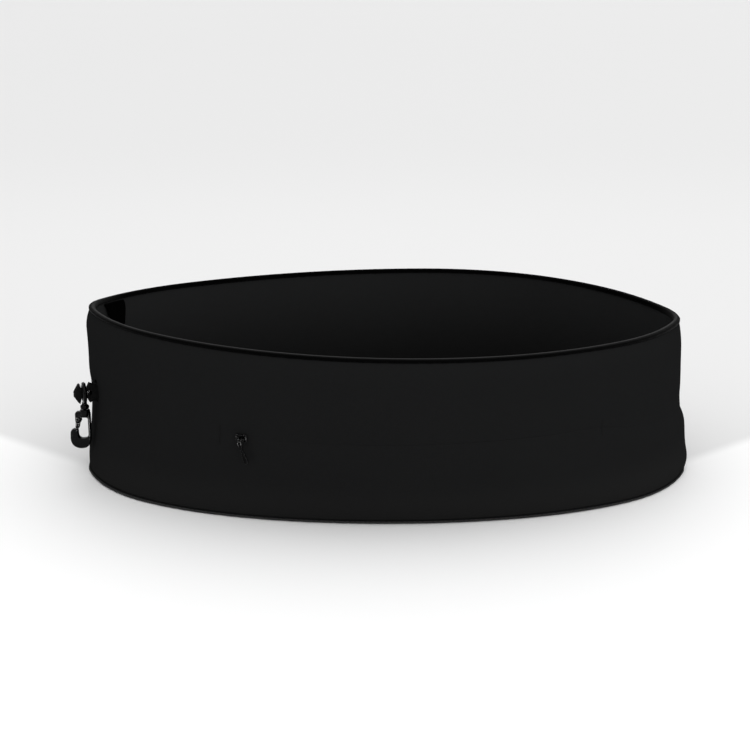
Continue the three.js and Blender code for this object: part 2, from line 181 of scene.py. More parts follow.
def even_headings(start, end, step):
    """Headings from start to end, a step in millimetres apart along the wall."""
    fine = np.linspace(start, end, 4001)
    run = run_of(fine)
    count = max(4, int(round(run[-1] / step)))
    return np.interp(np.linspace(0, run[-1], count + 1), run, fine)


FAR = 999.0  # stands for any distance too great to matter


def near(heading, place):
    """Distance along the wall from a place, in millimetres, for headings close to it."""
    around = np.mod(np.asarray(heading, float) - place + 180, 360) - 180
    grid = np.linspace(-60, 60, 2401)
    run = run_of(place + grid)
    return np.interp(around, grid, run - run[len(run) // 2], left=-FAR, right=FAR)


# ---- camera and stage
def new_object(name, data):
    item = bpy.data.objects.new(name, data)
    bpy.context.scene.collection.objects.link(item)
    return item


def look_along(item, direction):
    item.rotation_mode = "QUATERNION"
    item.rotation_quaternion = direction.to_track_quat("-Z", "Y")


FOCAL = 70.37  # mm on a 36 mm wide sensor
CAMERA_DISTANCE = 820.0
CAMERA_AZIMUTH = 0.05
CAMERA_ELEVATION = 15.73
AIM = Vector((CENTRE_X - 6.1, CENTRE_Y, 54.5))


def make_camera():
    data = bpy.data.cameras.new("camera")
    data.lens = FOCAL
    data.sensor_width = 36.0
    data.clip_start, data.clip_end = 0.05, 60.0
    camera = new_object("camera", data)
    azimuth, elevation = radians(CAMERA_AZIMUTH), radians(CAMERA_ELEVATION)
    level = cos(elevation)
    back = Vector((-sin(azimuth) * level, -cos(azimuth) * level, sin(elevation)))
    camera.location = (AIM + back * CAMERA_DISTANCE) * MM
    look_along(camera, -back)
    bpy.context.scene.camera = camera


# ---- node helpers
class Nodes:
    """Short names for building the nodes of a material or a world."""

    def __init__(self, owner, out="OutputMaterial", shader="BsdfPrincipled"):
        self.owner = owner
        owner.use_nodes = True
        self.tree = owner.node_tree
        self.tree.nodes.clear()
        end = self.node(out)
        self.shader = self.node(shader)
        self.link(self.shader.outputs[0], end.inputs[0])

    def node(self, kind, **settings):
        node = self.tree.nodes.new("ShaderNode" + kind)
        for key, value in settings.items():
            setattr(node, key, value)
        return node

    def link(self, source, target):
        self.tree.links.new(source, target)

    def feed(self, socket, value):
        if isinstance(value, bpy.types.NodeSocket):
            self.link(value, socket)
        else:
            socket.default_value = value

    def put(self, key, value):
        self.feed(self.shader.inputs[key], value)

    def math(self, operation, a, b=0.0, c=0.0):
        node = self.node("Math", operation=operation)
        for socket, value in zip(node.inputs, (a, b, c)):
            self.feed(socket, value)
        return node.outputs[0]

    def times(self, a, b):
        return self.math("MULTIPLY", a, b)

    def coords(self, kind, scale=(1, 1, 1)):
        mapping = self.node("Mapping")
        mapping.inputs["Scale"].default_value = scale
        if kind == "wall":
            source = self.node("UVMap", uv_map="wall").outputs[0]
        else:
            source = self.node("TexCoord").outputs[kind]
        self.link(source, mapping.inputs["Vector"])
        return mapping.outputs[0]

    def axes(self, kind="Object"):
        """X, Y and Z of the coordinates. On the wall, X runs along it and Y goes round its section."""
        split = self.node("SeparateXYZ")
        self.link(self.coords(kind), split.inputs[0])
        return split.outputs

    def noise(self, scale, detail=3.0, roughness=0.5, kind="Object", stretch=(1, 1, 1)):
        node = self.node("TexNoise")
        self.link(self.coords(kind, stretch), node.inputs["Vector"])
        for key, value in (("Scale", scale), ("Detail", detail), ("Roughness", roughness)):
            node.inputs[key].default_value = value
        return node.outputs["Fac"]

    def ramp(self, value, low, high, start=0.0, end=1.0, kind="SMOOTHSTEP"):
        """start up to low, end from high on, smooth between."""
        node = self.node("MapRange", interpolation_type=kind)
        keys = ("Value", "From Min", "From Max", "To Min", "To Max")
        for key, number in zip(keys, (value, low, high, start, end)):
            self.feed(node.inputs[key], number)
        return node.outputs[0]

    def span(self, value, low, high):
        """Maps 0..1 onto low..high."""
        return self.ramp(value, 0.0, 1.0, low, high, "LINEAR")

    def mix(self, factor, first, second):
        node = self.node("Mix", data_type="RGBA")
        for place, value in ((0, factor), (6, first), (7, second)):
            self.feed(node.inputs[place], (*value, 1.0) if isinstance(value, tuple) else value)
        return node.outputs[2]

    def shades(self, factor, shade, low, high, tint=0.02, low_tint=0.0):
        """From a darker to a lighter grey round one shade."""
        return self.mix(factor, grey(shade * low, low_tint), grey(shade * high, tint))

    def ridges(self, along, pitch):
        """Even ridges, a pitch in millimetres apart."""
        phase = self.times(along, 2 * pi / (pitch * MM))
        return self.span(self.math("SINE", phase), 0.5, 1.0)

    def bump(self, height, distance, strength=1.0, under=None):
        node = self.node("Bump")
        node.inputs["Strength"].default_value = strength
        node.inputs["Distance"].default_value = distance
        self.link(height, node.inputs["Height"])
        if under is not None:
            self.link(under, node.inputs["Normal"])
        return node.outputs[0]

    def finish(self, colour, roughness, normal=None, specular=0.5):
        self.put("Base Color", colour)
        self.put("Roughness", roughness)
        self.put("Specular IOR Level", specular)
        if normal:
            self.put("Normal", normal)
        return self.owner


def material_nodes(name):
    return Nodes(bpy.data.materials.new(name))


def grey(value, tint=0.0):
    return (value * (1 - tint), value, value * (1 + tint))


BELT_SHADE_HALF = 0.165  # metres to either side over which the greyer part of the floor starts level
BELT_SHADE_SLOPE = 0.85  # how steeply its edge runs back beyond that


def stage_material():
    """Pale sweep: near white in front, a shade greyer behind the belt and beyond its ends."""
    n = material_nodes("pale_floor")
    across, deep, _ = n.axes()
    beyond = n.math("MAXIMUM", n.math("SUBTRACT", n.math("ABSOLUTE", across), BELT_SHADE_HALF), 0.0)
    edge = n.math("MULTIPLY_ADD", beyond, BELT_SHADE_SLOPE, -0.015)
    behind = n.ramp(n.math("SUBTRACT", deep, edge), -0.008, 0.008)
    colour = n.mix(behind, grey(0.93), grey(0.74))
    return n.finish(colour, n.span(n.noise(3.0), 0.55, 0.6), specular=0.2)


def make_stage():
    mesh = bpy.data.meshes.new("floor")
    half = 60.0  # metres, so that its far edge stays out of sight
    corners = [(x * half, y * half, 0) for x, y in ((-1, -1), (1, -1), (1, 1), (-1, 1))]
    mesh.from_pydata(corners, [], [(0, 1, 2, 3)])
    mesh.materials.append(stage_material())
    new_object("floor", mesh)


LAMP_AIM = Vector((0, 0, 0.04))


def area_light(name, size, power, place):
    data = bpy.data.lights.new(name, "AREA")
    data.shape = "RECTANGLE"
    data.size, data.size_y = size
    data.energy = power
    lamp = new_object(name, data)
    lamp.location = place
    look_along(lamp, LAMP_AIM - Vector(place))


DIM_SKY = 0.5  # near the horizon
BRIGHT_SKY = 1.3  # overhead
SKY_TO_RIGHT = 0.34  # how much brighter towards the right


def make_lights():
    scene = bpy.context.scene
    scene.view_settings.view_transform = "Standard"
    scene.view_settings.look = "None"
    scene.world = bpy.data.worlds.new("studio")
    n = Nodes(scene.world, "OutputWorld", "Background")
    n.put("Color", (1, 1, 1, 1))
    x, _, z = n.axes("Generated")
    sky = n.ramp(z, 0.1, 0.75, DIM_SKY, BRIGHT_SKY)
    side = n.math("MULTIPLY_ADD", x, SKY_TO_RIGHT, 1.0)
    n.put("Strength", n.times(sky, side))
    area_light("back_strip", (1.2, 0.05), 0.5, (0.0, 0.8, 0.75))
    area_light("left_strip", (0.04, 0.7), 0.5, (-0.95, -0.55, 0.45))
    area_light("right_strip", (0.05, 0.5), 0.7, (0.5, -1.1, 0.5))


make_camera()
make_stage()
make_lights()


# ---- materials
def knit_height(n, wale, course):
    """Rows of interlocked stitches on the wall coordinates: columns along the run, rows round the section."""
    along, up, _ = n.axes("wall")
    columns = n.math("DIVIDE", along, wale * MM)
    rows = n.math("DIVIDE", up, course * MM)
    side = n.math("ABSOLUTE", n.math("SUBTRACT", n.math("FRACT", columns), 0.5))
    ridge = n.math("COSINE", n.times(side, 2 * pi))
    slant = n.math("ADD", rows, n.times(side, 1.4))
    loops = n.math("SINE", n.times(slant, 2 * pi))
    both = n.math("ADD", n.times(ridge, -0.5), n.times(loops, 0.5))
    return n.span(both, 0.5, 1.0)


def knit_material(name, shade, painted_shading_low, wale=0.62, course=0.5):
    """The third argument is two heights and the share of the shade that shows below them: painted light or
    painted shade graded in towards the foot.
    """
    n = material_nodes(name)
    stitches = knit_height(n, wale, course)
    yarn = n.noise(900.0, 4.0, 0.6, "wall", (1, 2.2, 1))
    patch = n.noise(14.0)
    tone = n.math("MULTIPLY_ADD", yarn, 0.35, n.times(patch, 0.3))
    worn = n.math("MULTIPLY_ADD", stitches, 0.35, tone)
    colour = n.shades(worn, shade, 0.72, 1.3, low_tint=0.01)
    # painted light or painted shade, graded in towards the foot
    low, high, foot = painted_shading_low
    colour = n.mix(n.ramp(n.axes()[2], low, high), grey(shade * foot), colour)
    soft = n.bump(n.noise(55.0, 2.0), 0.0012, 0.12)
    fine = n.bump(yarn, 0.00012, 0.5, soft)
    normal = n.bump(stitches, 0.00016, 0.55, fine)
    return n.finish(colour, n.span(yarn, 0.78, 0.95), normal, 0.0)


def rib_material(name, shade, pitch, roughness, depth=0.0001, specular=0.4, painted_highlight=None):
    """Woven or knitted ribs across a band. The last argument places a painted highlight along its fold, on
    the front only, and gives the highlight's shade."""
    n = material_nodes(name)
    along, round_section, _ = n.axes("wall")
    ribs = n.ridges(along, pitch)
    cross = n.ridges(round_section, pitch * 1.7)
    yarn = n.noise(1300.0, kind="wall")
    weave = n.math("MULTIPLY_ADD", cross, 0.3, ribs)
    tone = n.math("MULTIPLY_ADD", yarn, 0.4, n.times(weave, 0.4))
    colour = n.shades(tone, shade, 0.7, 1.35)
    if painted_highlight:
        # the third number is the shade of the painted highlight
        start, end, worn = painted_highlight
        soft = 0.0002
        # painted highlight: a lighter band round the section, kept to the front of the loop
        highlight_mask = n.ramp(round_section, start - soft, start + soft)
        highlight_mask = n.times(highlight_mask, n.ramp(round_section, end + soft, end - soft))
        highlight_mask = n.times(highlight_mask, n.ramp(n.axes()[1], 0.02, -0.03))
        patchy = n.span(n.noise(90.0, kind="wall", stretch=(1, 3, 1)), 0.6, 1.2)
        colour = n.mix(n.times(highlight_mask, patchy), colour, grey(worn))
    fine = n.bump(yarn, 0.00005, 0.4)
    normal = n.bump(weave, depth, 0.6, fine)
    return n.finish(colour, n.span(yarn, roughness - 0.06, roughness + 0.08), normal, specular)


def metal_material(name, shade, roughness, bare):
    """Blackened metal with fine rubs, polished bare along its edges."""
    n = material_nodes(name)
    long_marks = n.noise(2600.0, 2.0, stretch=(1, 1, 0.12))
    cloud = n.noise(320.0)
    rub = n.ramp(n.noise(700.0, 5.0, 0.65), 0.62, 0.8)
    base = n.shades(cloud, shade, 0.8, 1.2)
    rounded_off = n.node("Bevel", samples=6)
    rounded_off.inputs["Radius"].default_value = 0.00045
    turn = n.node("VectorMath", operation="DOT_PRODUCT")
    n.link(rounded_off.outputs[0], turn.inputs[0])
    n.link(n.node("NewGeometry").outputs["Normal"], turn.inputs[1])
    edge = n.ramp(n.math("SUBTRACT", 1.0, turn.outputs["Value"]), 0.008, 0.09)
    worn = n.times(edge, n.span(cloud, 0.5, 1.3))
    worn = n.math("MAXIMUM", n.times(rub, 0.06), worn)
    colour = n.mix(worn, base, grey(bare))
    n.put("Metallic", 1.0)
    mottle = n.math("MULTIPLY_ADD", cloud, 0.5, n.times(rub, 0.5))
    normal = n.bump(long_marks, 0.00002, 0.25)
    return n.finish(colour, n.span(mottle, roughness * 0.75, roughness * 1.35), normal)


def label_material(name, shade):
    """Satin woven label, blank."""
    n = material_nodes(name)
    along, down, _ = n.axes("wall")
    lines = n.ridges(n.math("ADD", along, n.times(down, 0.6)), 0.35)
    yarn = n.noise(1500.0, 2.0, kind="wall")
    colour = n.shades(n.math("MULTIPLY_ADD", lines, 0.4, yarn), shade, 0.7, 1.3, tint=0.0)
    return n.finish(colour, n.span(yarn, 0.5, 0.62), n.bump(lines, 0.00006, 0.4), 0.004)


def thread_material(name, shade, specular):
    n = material_nodes(name)
    twist = n.noise(1800.0, stretch=(1, 1, 4))
    fibres = n.bump(twist, 0.0001, 0.6)
    return n.finish(n.shades(twist, shade, 0.6, 1.5), n.span(twist, 0.45, 0.7), fibres, specular)


def plastic_material(name, shade):
    n = material_nodes(name)
    cloud = n.noise(500.0)
    colour = n.shades(cloud, shade, 0.8, 1.25, tint=0.0)
    return n.finish(colour, n.span(cloud, 0.32, 0.48), n.bump(cloud, 0.00005, 0.3))


PANEL_PAINTED_FOOT_LIGHT = (0.0, 0.026, 1.28)  # painted light: the face is painted paler towards the foot, against the shade where the lower wall leans under
LINER_PAINTED_LOW_SHADE = (0.02, 0.09, 0.42)  # painted shade: the liner is painted darkest low down, where the inside of the loop lies in shade
RIM_PAINTED_HIGHLIGHT = (0.0075, 0.011, 0.032)  # painted highlight along the rim's fold, front only: wall coordinates of the band, metres, and its shade
# painted highlight along the foot binding's fold, front only: wall coordinates of the band, metres, and its
# shade
FOOT_PAINTED_HIGHLIGHT = (0.0036, 0.0066, 0.032)
PANEL_KNIT = knit_material("panel_double_knit", 0.0104, PANEL_PAINTED_FOOT_LIGHT)
LINER_KNIT = knit_material("liner_double_knit", 0.017, LINER_PAINTED_LOW_SHADE, wale=0.7, course=0.55)
# the top binding's near-black shade is partly painted shade: it stands in for the shadowed groove under the
# rolled rim
BINDING = rib_material("binding_elastic", 0.0007, 0.8, 0.5, 0.00006, 0.012, RIM_PAINTED_HIGHLIGHT)
FOOT_BINDING = rib_material("foot_elastic", 0.004, 0.8, 0.5, 0.00006, 0.012, FOOT_PAINTED_HIGHLIGHT)
TAPE = rib_material("zip_tape_twill", 0.012, 0.7, 0.8, depth=0.00012, specular=0.25)
SEAM_TAPE = rib_material("seam_cover_tape", 0.012, 0.5, 0.7, depth=0.0001, specular=0.3)
RIBBON = rib_material("grosgrain_ribbon", 0.0016, 0.62, 0.6, depth=0.00016, specular=0.12)
LABEL = label_material("blank_satin_label", 0.0005)
THREAD = thread_material("black_thread", 0.003, 0.02)
PANEL_THREAD = thread_material("panel_thread", 0.0098, 0.0)
COIL = plastic_material("coil_nylon", 0.012)
ENAMEL = metal_material("black_enamel", 0.005, 0.2, 0.3)
GUNMETAL = metal_material("black_nickel", 0.009, 0.12, 0.75)
STEEL = metal_material("spring_wire", 0.4, 0.25, 0.6)


# ---- mesh helpers
def attach(piece, body, node=None):
    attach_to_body(piece, body)
    if node:
        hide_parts(node)


def link_mesh(name, mesh, material):
    mesh.update()
    mesh.materials.append(material)
    mesh.polygons.foreach_set("use_smooth", [True] * len(mesh.polygons))
    return new_object(name, mesh)


def swept(name, headings, reach, height, material, ring=False, heading=None):
    """A closed section carried along the wall. reach and height have a row for each heading, and the
    section runs round so that its faces point out. The wall coordinates are lengths in metres."""
    count, points = reach.shape
    place = wall(headings[:, None] if heading is None else heading, reach, height)
    run = run_of(headings) * MM
    profile = np.stack([reach, height], -1)
    closed = np.concatenate([profile, profile[:, :1]], 1)
    girth = norm(np.diff(closed, axis=1), axis=2)
    girth = np.concatenate([np.zeros((count, 1)), np.cumsum(girth, 1)], 1) * MM
    rows = count - 1 if ring else count
    at = np.arange(rows * points).reshape(rows, points)
    i, j = np.mgrid[:count - 1, :points]
    i2, j2 = (i + 1) % rows, (j + 1) % points
    quads = np.stack([at[i, j], at[i, j2], at[i2, j2], at[i2, j]], -1).reshape(-1, 4)
    corners = [(i, j), (i, j + 1), (i + 1, j + 1), (i + 1, j)]
    uv = np.stack([np.stack([run[a], girth[a, b]], -1) for a, b in corners], -2).reshape(-1, 2)
    faces = quads.tolist()
    if not ring:
        faces.append(list(range(points))[::-1])
        faces.append(at[-1].tolist())
        ends = [(run[0], girth[0, k]) for k in range(points)][::-1]
        ends += [(run[-1], girth[-1, k]) for k in range(points)]
        uv = np.concatenate([uv, np.array(ends)])
    mesh = bpy.data.meshes.new(name)
    mesh.from_pydata(place[:rows].reshape(-1, 3).tolist(), [], faces)
    layer = mesh.uv_layers.new(name="wall")
    layer.data.foreach_set("uv", uv.astype(np.float32).ravel())
    return link_mesh(name, mesh, material)


def outline_of(points, lift):
    """Repeats one closed section for every heading, moved out by its lift."""
    section = np.array(points, float)
    return section[None, :, 0] + lift[:, None], section[None, :, 1] + 0 * lift[:, None]


def rounded(points, radius, steps):
    """A closed outline with each corner turned on a small arc."""
    points = [np.array(p, float) for p in points]
    out = []
    for k, corner in enumerate(points):
        before, after = points[k - 1] - corner, points[(k + 1) % len(points)] - corner
        cut = min(radius, norm(before) * 0.48, norm(after) * 0.48)
        start = corner + before / norm(before) * cut
        end = corner + after / norm(after) * cut
        for t in np.linspace(0, 1, steps):
            out.append((1 - t) ** 2 * start + 2 * t * (1 - t) * corner + t * t * end)
    return out


def hump(distance, width, power=2):
    """1 at no distance, falling away smoothly over a width."""
    return np.exp(-((distance / width) ** power))


def gathers(run, pitch, sway, length):
    """Small folds a pitch apart whose spacing sways along the run."""
    return np.sin(2 * pi * run / pitch + sway * np.sin(run / length))


def wave(run, height, amount, seed):
    """Slow, even unevenness of hand-laid fabric."""
    generator = np.random.default_rng(seed)
    total = np.zeros(np.broadcast(run, height).shape)
    for length in (150.0, 92.0, 61.0, 37.0):
        phase = generator.uniform(0, 2 * pi, 2)
        drift = generator.uniform(0.4, 1.1)
        swell = np.sin(2 * pi * run / length + phase[0] + drift * height / 30)
        total = total + swell * np.cos(height / 38 + phase[1]) * length / 150
    return amount * total / 2


# ---- fabric wall
RIM_REACH = box_mm("top_edge_binding")[1].x - CENTRE_X - HALF_WIDTH - 0.8
LIP_GAP = 0.06  # half the gap between the two hems
HEM_DEPTH = 7.0  # fabric turned in behind each hem
PINCH_HEIGHT = 7.0  # how far above and below mid height the face draws in
BULGE = 5.7  # reach of the face where it is fullest
RIBBON_WIDTH = 12.0


def slack(headings):
    """Where the hems part a little: along the zip, and hardly at all beyond it."""
    return 0.04 + 0.96 * np.clip(1 - np.abs(near(headings, 12.0)) / 105.0, 0, 1) ** 0.5


def lip_gape(headings):
    """How far each hem stands off mid height: the hems part round the tether's ribbon."""
    from_tether = np.abs(near(headings, TETHER_HEADING))
    return LIP_GAP * slack(headings) + (RIBBON_WIDTH / 2 + 0.3) * hump(from_tether, 3.0, 4)


def crown(headings, side):
    """Reach of the outer face where each half bulges most."""
    to_right = np.sin(np.radians(headings))
    ends = np.abs(to_right) ** 3
    if side > 0:
        return BULGE + ends * np.where(to_right > 0, -1.9, 0.0)
    return BULGE + ends * np.where(to_right > 0, 0.7, -1.7)


def bulge_at(headings, rise, side):
    """The same at any height: the two halves stand flush where they meet."""
    shared = 0.5 * hump(rise, 5.0)
    return crown(headings, side) * (1 - shared) + crown(headings, -side) * shared


def pinch(headings):
    """How far the hems pull in at mid height: least at the zip, most at the two ends."""
    to_right = np.sin(np.radians(headings))
    return 0.25 + 1.5 * np.clip(to_right, 0, 1) ** 6 + 0.3 * np.clip(-to_right, 0, 1) ** 6


def tack_dent(across, rise):
    """How far a bar tack draws the face in round it."""
    return 0.12 * np.exp(-((across / 3.0) ** 2) - (rise / 6.0) ** 2)


def outer_face(headings, share, side):
    """Reach and height above mid height of the outer face: share runs from the hem (0) to the rim (1)."""
    gape = lip_gape(headings)[:, None]
    edge = PANEL_TOP - MIDDLE
    rise = gape + (edge - gape) * share
    bulge = bulge_at(headings[:, None], rise, side)
    toward_rim = np.clip((share - 0.7) / 0.3, 0, 1)
    fall = (bulge - RIM_REACH) * toward_rim**2.2
    dip = pinch(headings)[:, None] * hump(rise - gape, PINCH_HEIGHT)
    lip_roll = 0.14 * slack(headings)[:, None] * hump(rise - gape, 0.5)
    run = run_of(headings)[:, None]
    ripple = wave(run, rise * side, 0.28, 11) * np.sin(pi * np.clip(share, 0, 1))
    pucker = 0.06 * gathers(run, 7.1, 1.3, 23) * hump(edge - rise, 4.5)
    seam = near(headings, JOINING_SEAM)[:, None]
    ridge = 0.3 * hump(seam + 0.9, 0.9) - 0.38 * hump(seam - 0.45, 0.4)
    tack_pull = 0
    for place in BAR_TACKS.values():
        tack_pull = tack_pull - tack_dent(near(headings, place)[:, None], rise)
    reach = bulge - fall - dip - lip_roll + ripple + pucker + ridge + tack_pull
    return reach, rise


def outer_panel(side):
    """Half of the outer wall: the face, the hem turned in behind it, and the lining side."""
    headings = even_headings(*ROUND, 1.5)
    share = np.linspace(0, 1, 52)[None, :] ** 1.6  # closer rows near the hem
    face_reach, face_rise = outer_face(headings, share, side)
    gape = lip_gape(headings)[:, None]
    fold = np.linspace(0, 1, 5)[None, 1:-1] * pi
    lip_reach = face_reach[:, :1] - KNIT * (1 - np.cos(fold)) / 2 * 1.1
    lip_rise = gape - 0.12 * np.sin(fold)
    back_reach = face_reach - KNIT * 1.02
    back_reach = back_reach - hump(face_rise - gape, HEM_DEPTH, 6) * 0.35
    reach = np.concatenate([face_reach[:, ::-1], lip_reach, back_reach], 1)
    rise = np.concatenate([face_rise[:, ::-1], lip_rise, face_rise], 1)
    height = MIDDLE + side * rise
    if side < 0:
        reach, height = reach[:, ::-1], height[:, ::-1]
    name = "outer_upper_fabric" if side > 0 else "outer_lower_fabric"
    return swept(name, headings, reach, height, PANEL_KNIT, ring=True)


def inner_panel():
    headings = even_headings(*ROUND, 1.6)
    z = np.linspace(PANEL_BOTTOM, PANEL_TOP, 40)[None, :]
    run = run_of(headings)[:, None]
    middle = np.sin(pi * (z - PANEL_BOTTOM) / (PANEL_TOP - PANEL_BOTTOM))
    ripple = wave(run, z, 0.3, 5) * middle
    edge = np.minimum(z - PANEL_BOTTOM, PANEL_TOP - z)
    inside = 0.1 + ripple + 0.05 * gathers(run, 6.3, 1.1, 19) * hump(edge, 4.0)
    outside = inside + INNER_KNIT * 0.95
    z = np.broadcast_to(z, inside.shape)
    reach = np.concatenate([outside[:, ::-1], inside], 1)
    height = np.concatenate([z[:, ::-1], z], 1)
    return swept("inner_liner_fabric", headings, reach, height, LINER_KNIT, ring=True)


OUTER_SKIRT = 1.9  # how far the binding reaches over the face
INNER_SKIRT = box_mm("bottom_edge_binding")[1].z  # and over the liner
RIM_CURL = 16.0  # degrees that the bound edge rolls outward


def binding(side):
    """Fold-over elastic round the panel edges: a soft U with a rolled top, curled outward a little."""
    headings = even_headings(*ROUND, 1.6)
    half, skirt = HEIGHT / 2, INNER_SKIRT
    inside, outside, fold = -0.15, RIM_REACH + 0.15, 0.42
    rows = [
        (inside - fold, half - skirt), (inside - fold, half - 0.5), (inside + 0.25, half),
        (outside - 0.25, half), (outside + fold, half - 0.5), (outside + fold, half - OUTER_SKIRT),
        (outside, half - OUTER_SKIRT), (outside, half - 1.3), (inside, half - 1.3), (inside, half - skirt),
    ]
    turn = radians(RIM_CURL)
    pivot = np.array([inside, half - skirt])
    section = []
    for point in rounded(rows, 0.55, 5):
        r, z = point - pivot
        share = min(1.0, max(0.0, z / skirt))
        out, down = cos(turn * share), 0.6 * sin(turn * share)
        section.append(pivot + (r * out + z * down, z - r * down))
    reach, rise = outline_of(section, 0.05 * gathers(run_of(headings), 8.3, 1.2, 31))
    height = MIDDLE + side * rise
    if side > 0:
        reach, height = reach[:, ::-1], height[:, ::-1]
    name = "top_binding_elastic" if side > 0 else "bottom_binding_elastic"
    return swept(name, headings, reach, height, BINDING if side > 0 else FOOT_BINDING, ring=True)


def band(name, start, end, near_reach, far_reach, low, high, material):
    """A thin strip inside the wall; heights are from mid height."""
    headings = even_headings(start, end, 2.0)
    thick, middle = far_reach - near_reach, (low + high) / 2
    rows = [(0, low), (thick, low), (thick, middle), (thick, high), (0, high), (0, middle)]
    reach, rise = outline_of(rounded(rows, 0.2, 3), np.full(headings.shape, near_reach))
    return swept(name, headings, reach[:, ::-1], MIDDLE + rise[:, ::-1], material)


LAP = (2.6, 3.3, -9, 9)  # the strips behind the slit: two reaches and two heights


def place_fabric():
    for side, node in ((1, "outer_upper_panel"), (-1, "outer_lower_panel")):
        attach(outer_panel(side), "belt", node)
    attach(inner_panel(), "belt", "inner_panel")
    for side, node in ((1, "top_edge_binding"), (-1, "bottom_edge_binding")):
        attach(binding(side), "belt", node)
    rear, front = (ZIP_END + 2, 360 + TETHER_HEADING - 5), (TETHER_HEADING + 5, ZIP_START - 2)
    for word, (start, end) in (("rear", rear), ("front", front)):
        lap = band(f"{word}_underlap_fabric", start, end, *LAP, PANEL_KNIT)
        attach(lap, "belt", f"{word}_slit_underlap")


place_fabric()


# ---- small-part helpers
def turned(degrees, axis):
    """Rotation about one axis."""
    return Matrix.Rotation(radians(degrees), 4, axis)


def station(heading, reach, z):
    """X runs along the wall, -Y points out of it, and the origin is on the CAD wall, in millimetres."""
    x, y = plan_point(heading, reach)
    return Matrix.Translation((x + CENTRE_X, y + CENTRE_Y, z)) @ turned(heading, "Z")


def grid_surface(points, close_rows=False, bm=None):
    """Faces over a grid of points whose rows are closed; open ends are closed with a fan."""
    bm = bmesh.new() if bm is None else bm
    rows, columns = len(points), len(points[0])
    verts = [[bm.verts.new(p) for p in row] for row in points]
    for i in range(rows if close_rows else rows - 1):
        for j in range(columns):
            i2, j2 = (i + 1) % rows, (j + 1) % columns
            bm.faces.new((verts[i][j], verts[i][j2], verts[i2][j2], verts[i2][j]))
    if not close_rows:
        bm.faces.new(verts[0][::-1])
        bm.faces.new(verts[-1])
    return bm


def turns(steps):
    """Angles once round a circle."""
    return np.linspace(0, 2 * pi, steps, endpoint=False)


def lathe(rows, sides, matrix=Matrix.Identity(4)):
    """Solid of revolution about Z from (radius, z) rows that start and end off the axis."""
    turn = turns(sides)
    points = [[matrix @ Vector((r * cos(t), r * sin(t), z)) for t in turn] for r, z in rows]
    return grid_surface(points)


def torus(radius, wire, matrix, rings, sides):
    """Ring about Z."""
    rows = []
    for a in turns(rings):
        reaches = [(radius + wire * cos(b), wire * sin(b)) for b in turns(sides)]
        rows.append([matrix @ Vector((r * cos(a), r * sin(a), z)) for r, z in reaches])
    return grid_surface(rows, close_rows=True)


def unit_rows(vectors):
    return vectors / norm(vectors, axis=1)[:, None]


def tube(path, radius, sides):
    """Round wire along points."""
    path = np.array(path, float)
    ahead = unit_rows(np.gradient(path, axis=0))
    side = np.cross(ahead[0], (0.3, 0.5, 0.81))
    rows = []
    for point, along in zip(path, ahead):
        side = side - along * (side @ along)
        side = side / norm(side)
        up = np.cross(along, side)
        rows.append([point + radius * (cos(t) * side + sin(t) * up) for t in turns(sides)])
    return grid_surface(rows)


def pen(moves):
    """Points of an outline from (x, y) corners, (cx, cy, x, y) quadratic and six-number cubic curves."""
    points = [np.array(moves[0], float)]
    for move in moves[1:]:
        values = np.array(move, float).reshape(-1, 2)
        start = points[-1]
        if len(values) == 1:
            points.append(values[0])
            continue
        for t in np.linspace(0, 1, 9)[1:]:
            u = 1 - t
            if len(values) == 2:
                points.append(u * u * start + 2 * u * t * values[0] + t * t * values[1])
            else:
                a, b, c = values
                points.append(u**3 * start + 3 * u * u * t * a + 3 * u * t * t * b + t**3 * c)
    return points


def circle(x, y, radius):
    return [(x + radius * cos(t), y + radius * sin(t)) for t in turns(28)]


def baked(item, *tools):
    """A bmesh of an object as it is drawn; the object goes, with the tools that shaped it."""
    bpy.context.view_layer.update()
    evaluated = item.evaluated_get(bpy.context.evaluated_depsgraph_get())
    mesh = bpy.data.meshes.new_from_object(evaluated)
    bm = bmesh.new()
    bm.from_mesh(mesh)
    bpy.data.meshes.remove(mesh)
    for used in (item, *tools):
        bpy.data.objects.remove(used)
    return bm


def plate(outlines, thickness, edge, out=0.0):
    """A flat piece standing in X-Z, this far out, with soft edges. The first outline is its rim and the
    others are holes."""
    data = bpy.data.curves.new("plate", "CURVE")
    data.dimensions = "2D"
    data.fill_mode = "BOTH"
    data.extrude = thickness / 2 - edge
    data.bevel_depth = edge
    data.bevel_resolution = 3
    data.offset = -edge
    for outline in outlines:
        spline = data.splines.new("POLY")
        spline.points.add(len(outline) - 1)
        for point, (x, y) in zip(spline.points, outline):
            point.co = (x, y, 0, 1)
        spline.use_cyclic_u = True
    bm = baked(new_object("plate", data))
    bmesh.ops.remove_doubles(bm, verts=bm.verts, dist=1e-4)
    bmesh.ops.rotate(bm, verts=bm.verts, cent=(0, 0, 0), matrix=turned(90, "X"))
    bmesh.ops.translate(bm, verts=bm.verts, vec=(0, -out, 0))
    return bm


def block(low, high):
    bm = bmesh.new()
    size = Vector(high) - Vector(low)
    middle = (Vector(high) + Vector(low)) / 2
    bmesh.ops.create_cube(bm, size=1, matrix=Matrix.Translation(middle) @ Matrix.Diagonal((*size, 1)))
    return bm


def soft_block(low, high, edge=0.3):
    bm = block(low, high)
    bmesh.ops.bevel(bm, geom=bm.edges[:], offset=edge, segments=3, profile=0.7, affect="EDGES")
    return bm


def mesh_of(bm, name):
    """Hands a bmesh over to a new mesh."""
    bmesh.ops.recalc_face_normals(bm, faces=bm.faces)
    mesh = bpy.data.meshes.new(name)
    bm.to_mesh(mesh)
    bm.free()
    return mesh


